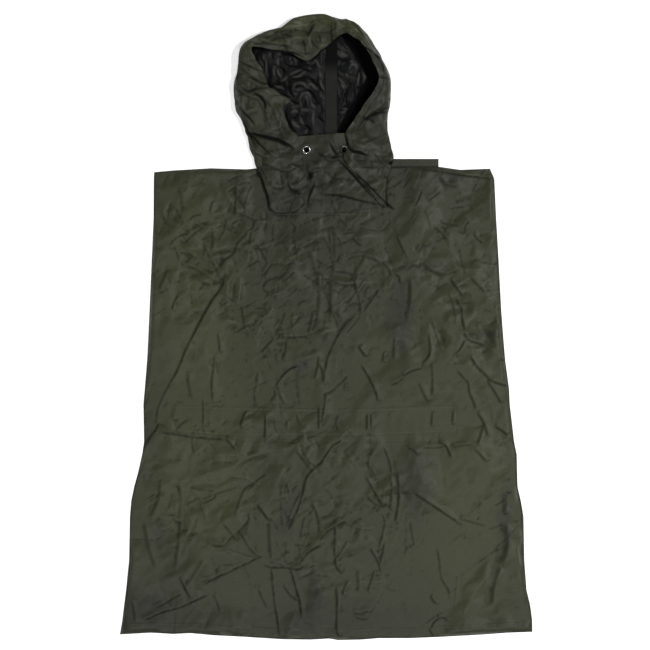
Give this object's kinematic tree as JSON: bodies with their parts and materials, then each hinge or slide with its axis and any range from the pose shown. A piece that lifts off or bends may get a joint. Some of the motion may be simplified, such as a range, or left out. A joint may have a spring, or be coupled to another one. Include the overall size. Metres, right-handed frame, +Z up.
{
  "type": "rain poncho",
  "caption": "Pull-over hooded rain poncho of coated cloth, laid out flat with its front up, a waist channel across the front and eyelets under the chin.",
  "frame": {"origin": "middle of the laid-out garment, on the surface that it lies on", "axes": "+X to the right of the garment as seen from above, +Y from the hem to the crown of the hood, +Z up, the front's outer face looking up"},
  "size_m": [0.9484, 1.4398, 0.051],
  "materials": {
    "shell": "olive coated nylon, plain weave, slight sheen, crumpled",
    "shell_back": "olive coated nylon, plain weave",
    "band": "olive coated nylon, stitched as a channel",
    "hood": "olive coated nylon outside, dark glossy coating inside",
    "tape": "smooth dark seam tape",
    "metal": "plated, slightly dulled"
  },
  "bodies": {
    "root": {"back_panel": "shell_back", "back_flap": "shell_back", "front_upper": "shell", "front_lower": "shell", "waist_band": "band", "hood_left": "hood", "hood_right": "hood", "throat_panel": "hood", "hood_seam_tape": "tape", "eyelet_left": "metal", "eyelet_right": "metal"}
  },
  "joints": []
}
